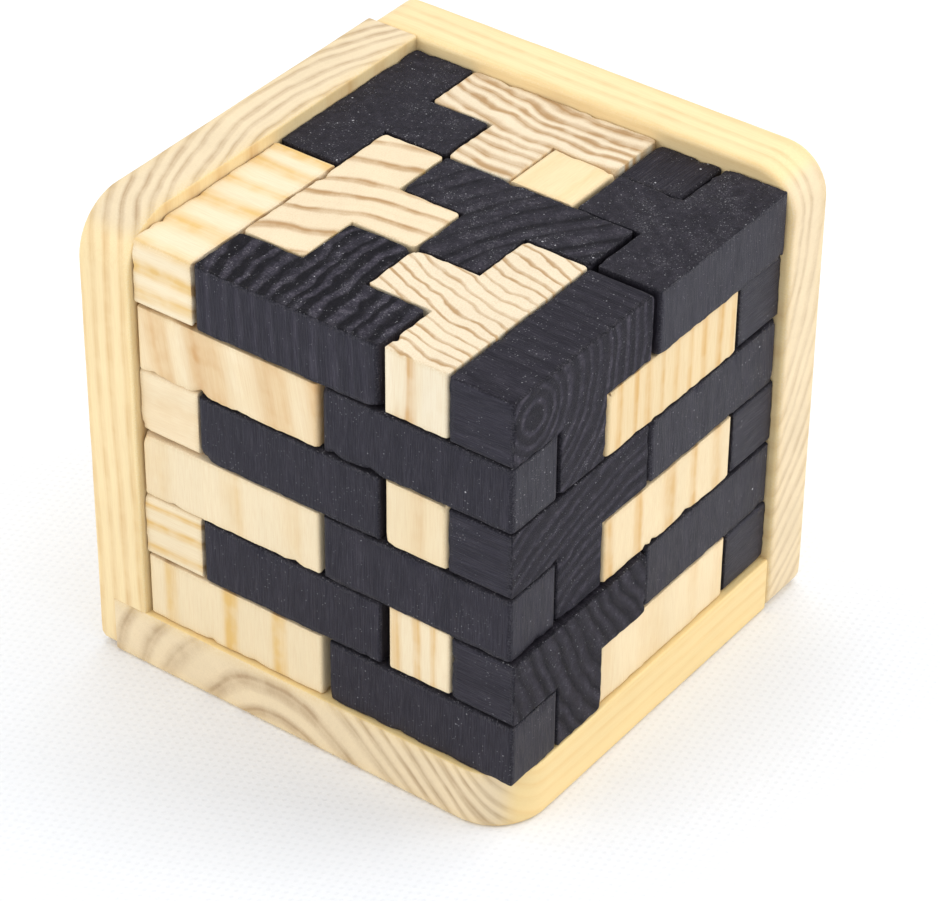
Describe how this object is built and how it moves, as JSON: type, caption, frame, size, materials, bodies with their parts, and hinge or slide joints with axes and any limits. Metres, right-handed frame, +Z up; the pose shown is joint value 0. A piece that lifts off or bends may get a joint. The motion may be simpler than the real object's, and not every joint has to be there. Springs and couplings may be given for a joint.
{
  "type": "wooden t-block packing puzzle",
  "caption": "Cube of interlocking T-shaped wooden blocks, pine and black, packed in layers inside a three-sided corner tray.",
  "frame": {"origin": "middle of the underside, on the surface the object stands on", "axes": "+Z up; -Y is the open front, +X the open right side, the walls stand at -X and +Y"},
  "size_m": [0.0696, 0.0692, 0.0707],
  "materials": {
    "tray_pine": "plain sanded pine, satin",
    "pine_block": "plain sanded pine, satin",
    "black_block": "pine stained black, grain showing through"
  },
  "bodies": {
    "tray": {"base_board": "tray_pine", "left_wall": "tray_pine", "back_wall": "tray_pine"},
    "top_pine_left_front_upright": {"top_pine_left_front_upright": "pine_block"},
    "top_black_right_front_upright": {"top_black_right_front_upright": "black_block"},
    "top_black_front_centre": {"top_black_front_centre": "black_block"},
    "top_pine_right_inner": {"top_pine_right_inner": "pine_block"},
    "top_pine_left_inner": {"top_pine_left_inner": "pine_block"},
    "top_black_centre": {"top_black_centre": "black_block"},
    "top_black_back_left": {"top_black_back_left": "black_block"},
    "top_pine_back_centre": {"top_pine_back_centre": "pine_block"},
    "top_black_right_back": {"top_black_right_back": "black_block"},
    "top_pine_front_left_under": {"top_pine_front_left_under": "pine_block"},
    "top_black_front_right_under": {"top_black_front_right_under": "black_block"},
    "top_pine_right_under": {"top_pine_right_under": "pine_block"},
    "top_pine_inner_back_upright": {"top_pine_inner_back_upright": "pine_block"},
    "top_black_back_right_upright": {"top_black_back_right_upright": "black_block"},
    "top_black_left_under": {"top_black_left_under": "black_block"},
    "top_pine_centre_left_under": {"top_pine_centre_left_under": "pine_block"},
    "top_pine_back_left_under": {"top_pine_back_left_under": "pine_block"},
    "top_black_centre_right_under": {"top_black_centre_right_under": "black_block"},
    "middle_black_front_centre": {"middle_black_front_centre": "black_block"},
    "middle_black_right_front_upright": {"middle_black_right_front_upright": "black_block"},
    "middle_pine_front_left_under": {"middle_pine_front_left_under": "pine_block"},
    "middle_black_front_right_under": {"middle_black_front_right_under": "black_block"},
    "middle_pine_right_under": {"middle_pine_right_under": "pine_block"},
    "middle_black_right_back": {"middle_black_right_back": "black_block"},
    "middle_pine_left_front_upright": {"middle_pine_left_front_upright": "pine_block"},
    "middle_pine_right_inner": {"middle_pine_right_inner": "pine_block"},
    "middle_pine_left_inner": {"middle_pine_left_inner": "pine_block"},
    "middle_black_centre": {"middle_black_centre": "black_block"},
    "middle_black_back_left": {"middle_black_back_left": "black_block"},
    "middle_pine_back_centre": {"middle_pine_back_centre": "pine_block"},
    "middle_black_back_right_upright": {"middle_black_back_right_upright": "black_block"},
    "middle_pine_inner_back_upright": {"middle_pine_inner_back_upright": "pine_block"},
    "middle_black_left_under": {"middle_black_left_under": "black_block"},
    "middle_pine_centre_left_under": {"middle_pine_centre_left_under": "pine_block"},
    "middle_pine_back_left_under": {"middle_pine_back_left_under": "pine_block"},
    "middle_black_centre_right_under": {"middle_black_centre_right_under": "black_block"},
    "bottom_black_front_centre": {"bottom_black_front_centre": "black_block"},
    "bottom_black_right_front_upright": {"bottom_black_right_front_upright": "black_block"},
    "bottom_pine_front_left_under": {"bottom_pine_front_left_under": "pine_block"},
    "bottom_black_front_right_under": {"bottom_black_front_right_under": "black_block"},
    "bottom_pine_right_under": {"bottom_pine_right_under": "pine_block"},
    "bottom_black_right_back": {"bottom_black_right_back": "black_block"},
    "bottom_pine_left_front_upright": {"bottom_pine_left_front_upright": "pine_block"},
    "bottom_pine_right_inner": {"bottom_pine_right_inner": "pine_block"},
    "bottom_pine_left_inner": {"bottom_pine_left_inner": "pine_block"},
    "bottom_black_centre": {"bottom_black_centre": "black_block"},
    "bottom_black_back_left": {"bottom_black_back_left": "black_block"},
    "bottom_pine_back_centre": {"bottom_pine_back_centre": "pine_block"},
    "bottom_black_back_right_upright": {"bottom_black_back_right_upright": "black_block"},
    "bottom_pine_inner_back_upright": {"bottom_pine_inner_back_upright": "pine_block"},
    "bottom_black_left_under": {"bottom_black_left_under": "black_block"},
    "bottom_pine_centre_left_under": {"bottom_pine_centre_left_under": "pine_block"},
    "bottom_pine_back_left_under": {"bottom_pine_back_left_under": "pine_block"},
    "bottom_black_centre_right_under": {"bottom_black_centre_right_under": "black_block"}
  },
  "joints": [
    {"name": "top_pine_left_front_upright_lift", "type": "slide", "parent": "top_black_left_under", "child": "top_pine_left_front_upright", "axis": [0, 0, 1], "range_m": [0, 0.0355]},
    {"name": "top_black_right_front_upright_lift", "type": "slide", "parent": "tray", "child": "top_black_right_front_upright", "axis": [0, 0, 1], "range_m": [0, 0.0355]},
    {"name": "top_black_front_centre_lift", "type": "slide", "parent": "tray", "child": "top_black_front_centre", "axis": [0, 0, 1], "range_m": [0, 0.0255]},
    {"name": "top_pine_right_inner_lift", "type": "slide", "parent": "tray", "child": "top_pine_right_inner", "axis": [0, 0, 1], "range_m": [0, 0.0255]},
    {"name": "top_pine_left_inner_lift", "type": "slide", "parent": "tray", "child": "top_pine_left_inner", "axis": [0, 0, 1], "range_m": [0, 0.0255]},
    {"name": "top_black_centre_lift", "type": "slide", "parent": "tray", "child": "top_black_centre", "axis": [0, 0, 1], "range_m": [0, 0.0255]},
    {"name": "top_black_back_left_lift", "type": "slide", "parent": "tray", "child": "top_black_back_left", "axis": [0, 0, 1], "range_m": [0, 0.0255]},
    {"name": "top_pine_back_centre_lift", "type": "slide", "parent": "tray", "child": "top_pine_back_centre", "axis": [0, 0, 1], "range_m": [0, 0.0255]},
    {"name": "top_black_right_back_lift", "type": "slide", "parent": "top_black_back_right_upright", "child": "top_black_right_back", "axis": [0, 0, 1], "range_m": [0, 0.0255]},
    {"name": "top_pine_front_left_under_pull", "type": "slide", "parent": "top_pine_centre_left_under", "child": "top_pine_front_left_under", "axis": [0, -1, 0], "range_m": [0, 0.0246]},
    {"name": "top_black_front_right_under_pull", "type": "slide", "parent": "top_black_centre_right_under", "child": "top_black_front_right_under", "axis": [0, -1, 0], "range_m": [0, 0.0246]},
    {"name": "top_pine_right_under_pull", "type": "slide", "parent": "top_pine_inner_back_upright", "child": "top_pine_right_under", "axis": [1, 0, 0], "range_m": [0, 0.0246]},
    {"name": "top_pine_inner_back_upright_pull", "type": "slide", "parent": "top_pine_back_left_under", "child": "top_pine_inner_back_upright", "axis": [1, 0, 0], "range_m": [0, 0.0446]},
    {"name": "top_black_back_right_upright_pull", "type": "slide", "parent": "top_pine_inner_back_upright", "child": "top_black_back_right_upright", "axis": [1, 0, 0], "range_m": [0, 0.0346]},
    {"name": "top_black_left_under_pull", "type": "slide", "parent": "tray", "child": "top_black_left_under", "axis": [0, -1, 0], "range_m": [0, 0.0546]},
    {"name": "top_pine_centre_left_under_pull", "type": "slide", "parent": "top_black_left_under", "child": "top_pine_centre_left_under", "axis": [0, -1, 0], "range_m": [0, 0.0446]},
    {"name": "top_pine_back_left_under_pull", "type": "slide", "parent": "tray", "child": "top_pine_back_left_under", "axis": [1, 0, 0], "range_m": [0, 0.0646]},
    {"name": "top_black_centre_right_under_pull", "type": "slide", "parent": "tray", "child": "top_black_centre_right_under", "axis": [0, -1, 0], "range_m": [0, 0.0446]},
    {"name": "middle_black_front_centre_pull", "type": "slide", "parent": "middle_pine_right_inner", "child": "middle_black_front_centre", "axis": [0, -1, 0], "range_m": [0, 0.0246]},
    {"name": "middle_black_right_front_upright_pull", "type": "slide", "parent": "tray", "child": "middle_black_right_front_upright", "axis": [1, 0, 0], "range_m": [0, 0.0146]},
    {"name": "middle_pine_front_left_under_pull", "type": "slide", "parent": "middle_pine_left_front_upright", "child": "middle_pine_front_left_under", "axis": [0, -1, 0], "range_m": [0, 0.0246]},
    {"name": "middle_black_front_right_under_pull", "type": "slide", "parent": "middle_black_centre_right_under", "child": "middle_black_front_right_under", "axis": [0, -1, 0], "range_m": [0, 0.0246]},
    {"name": "middle_pine_right_under_pull", "type": "slide", "parent": "middle_pine_inner_back_upright", "child": "middle_pine_right_under", "axis": [1, 0, 0], "range_m": [0, 0.0246]},
    {"name": "middle_black_right_back_pull", "type": "slide", "parent": "middle_black_back_right_upright", "child": "middle_black_right_back", "axis": [1, 0, 0], "range_m": [0, 0.0246]},
    {"name": "middle_pine_left_front_upright_pull", "type": "slide", "parent": "middle_pine_centre_left_under", "child": "middle_pine_left_front_upright", "axis": [0, -1, 0], "range_m": [0, 0.0346]},
    {"name": "middle_pine_right_inner_pull", "type": "slide", "parent": "middle_pine_left_inner", "child": "middle_pine_right_inner", "axis": [0, -1, 0], "range_m": [0, 0.0346]},
    {"name": "middle_pine_left_inner_pull", "type": "slide", "parent": "middle_black_centre", "child": "middle_pine_left_inner", "axis": [0, -1, 0], "range_m": [0, 0.0446]},
    {"name": "middle_black_centre_pull", "type": "slide", "parent": "middle_black_back_left", "child": "middle_black_centre", "axis": [0, -1, 0], "range_m": [0, 0.0446]},
    {"name": "middle_black_back_left_pull", "type": "slide", "parent": "tray", "child": "middle_black_back_left", "axis": [0, -1, 0], "range_m": [0, 0.0646]},
    {"name": "middle_pine_back_centre_pull", "type": "slide", "parent": "middle_pine_back_left_under", "child": "middle_pine_back_centre", "axis": [1, 0, 0], "range_m": [0, 0.0546]},
    {"name": "middle_black_back_right_upright_pull", "type": "slide", "parent": "middle_pine_inner_back_upright", "child": "middle_black_back_right_upright", "axis": [1, 0, 0], "range_m": [0, 0.0346]},
    {"name": "middle_pine_inner_back_upright_pull", "type": "slide", "parent": "middle_pine_back_centre", "child": "middle_pine_inner_back_upright", "axis": [1, 0, 0], "range_m": [0, 0.0446]},
    {"name": "middle_black_left_under_pull", "type": "slide", "parent": "middle_black_back_left", "child": "middle_black_left_under", "axis": [0, -1, 0], "range_m": [0, 0.0546]},
    {"name": "middle_pine_centre_left_under_pull", "type": "slide", "parent": "middle_black_left_under", "child": "middle_pine_centre_left_under", "axis": [0, -1, 0], "range_m": [0, 0.0446]},
    {"name": "middle_pine_back_left_under_pull", "type": "slide", "parent": "tray", "child": "middle_pine_back_left_under", "axis": [1, 0, 0], "range_m": [0, 0.0646]},
    {"name": "middle_black_centre_right_under_pull", "type": "slide", "parent": "tray", "child": "middle_black_centre_right_under", "axis": [0, -1, 0], "range_m": [0, 0.0446]},
    {"name": "bottom_black_front_centre_pull", "type": "slide", "parent": "bottom_pine_right_inner", "child": "bottom_black_front_centre", "axis": [0, -1, 0], "range_m": [0, 0.0246]},
    {"name": "bottom_black_right_front_upright_pull", "type": "slide", "parent": "tray", "child": "bottom_black_right_front_upright", "axis": [1, 0, 0], "range_m": [0, 0.0146]},
    {"name": "bottom_pine_front_left_under_pull", "type": "slide", "parent": "bottom_pine_left_front_upright", "child": "bottom_pine_front_left_under", "axis": [0, -1, 0], "range_m": [0, 0.0246]},
    {"name": "bottom_black_front_right_under_pull", "type": "slide", "parent": "bottom_black_centre_right_under", "child": "bottom_black_front_right_under", "axis": [0, -1, 0], "range_m": [0, 0.0246]},
    {"name": "bottom_pine_right_under_pull", "type": "slide", "parent": "bottom_pine_inner_back_upright", "child": "bottom_pine_right_under", "axis": [1, 0, 0], "range_m": [0, 0.0246]},
    {"name": "bottom_black_right_back_pull", "type": "slide", "parent": "bottom_black_back_right_upright", "child": "bottom_black_right_back", "axis": [1, 0, 0], "range_m": [0, 0.0246]},
    {"name": "bottom_pine_left_front_upright_pull", "type": "slide", "parent": "bottom_pine_centre_left_under", "child": "bottom_pine_left_front_upright", "axis": [0, -1, 0], "range_m": [0, 0.0346]},
    {"name": "bottom_pine_right_inner_pull", "type": "slide", "parent": "bottom_pine_left_inner", "child": "bottom_pine_right_inner", "axis": [0, -1, 0], "range_m": [0, 0.0346]},
    {"name": "bottom_pine_left_inner_pull", "type": "slide", "parent": "bottom_black_centre", "child": "bottom_pine_left_inner", "axis": [0, -1, 0], "range_m": [0, 0.0446]},
    {"name": "bottom_black_centre_pull", "type": "slide", "parent": "bottom_black_back_left", "child": "bottom_black_centre", "axis": [0, -1, 0], "range_m": [0, 0.0446]},
    {"name": "bottom_black_back_left_pull", "type": "slide", "parent": "tray", "child": "bottom_black_back_left", "axis": [0, -1, 0], "range_m": [0, 0.0646]},
    {"name": "bottom_pine_back_centre_pull", "type": "slide", "parent": "bottom_pine_back_left_under", "child": "bottom_pine_back_centre", "axis": [1, 0, 0], "range_m": [0, 0.0546]},
    {"name": "bottom_black_back_right_upright_pull", "type": "slide", "parent": "bottom_pine_inner_back_upright", "child": "bottom_black_back_right_upright", "axis": [1, 0, 0], "range_m": [0, 0.0346]},
    {"name": "bottom_pine_inner_back_upright_pull", "type": "slide", "parent": "bottom_pine_back_centre", "child": "bottom_pine_inner_back_upright", "axis": [1, 0, 0], "range_m": [0, 0.0446]},
    {"name": "bottom_black_left_under_pull", "type": "slide", "parent": "bottom_black_back_left", "child": "bottom_black_left_under", "axis": [0, -1, 0], "range_m": [0, 0.0546]},
    {"name": "bottom_pine_centre_left_under_pull", "type": "slide", "parent": "bottom_black_left_under", "child": "bottom_pine_centre_left_under", "axis": [0, -1, 0], "range_m": [0, 0.0446]},
    {"name": "bottom_pine_back_left_under_pull", "type": "slide", "parent": "tray", "child": "bottom_pine_back_left_under", "axis": [1, 0, 0], "range_m": [0, 0.0646]},
    {"name": "bottom_black_centre_right_under_pull", "type": "slide", "parent": "tray", "child": "bottom_black_centre_right_under", "axis": [0, -1, 0], "range_m": [0, 0.0446]}
  ]
}
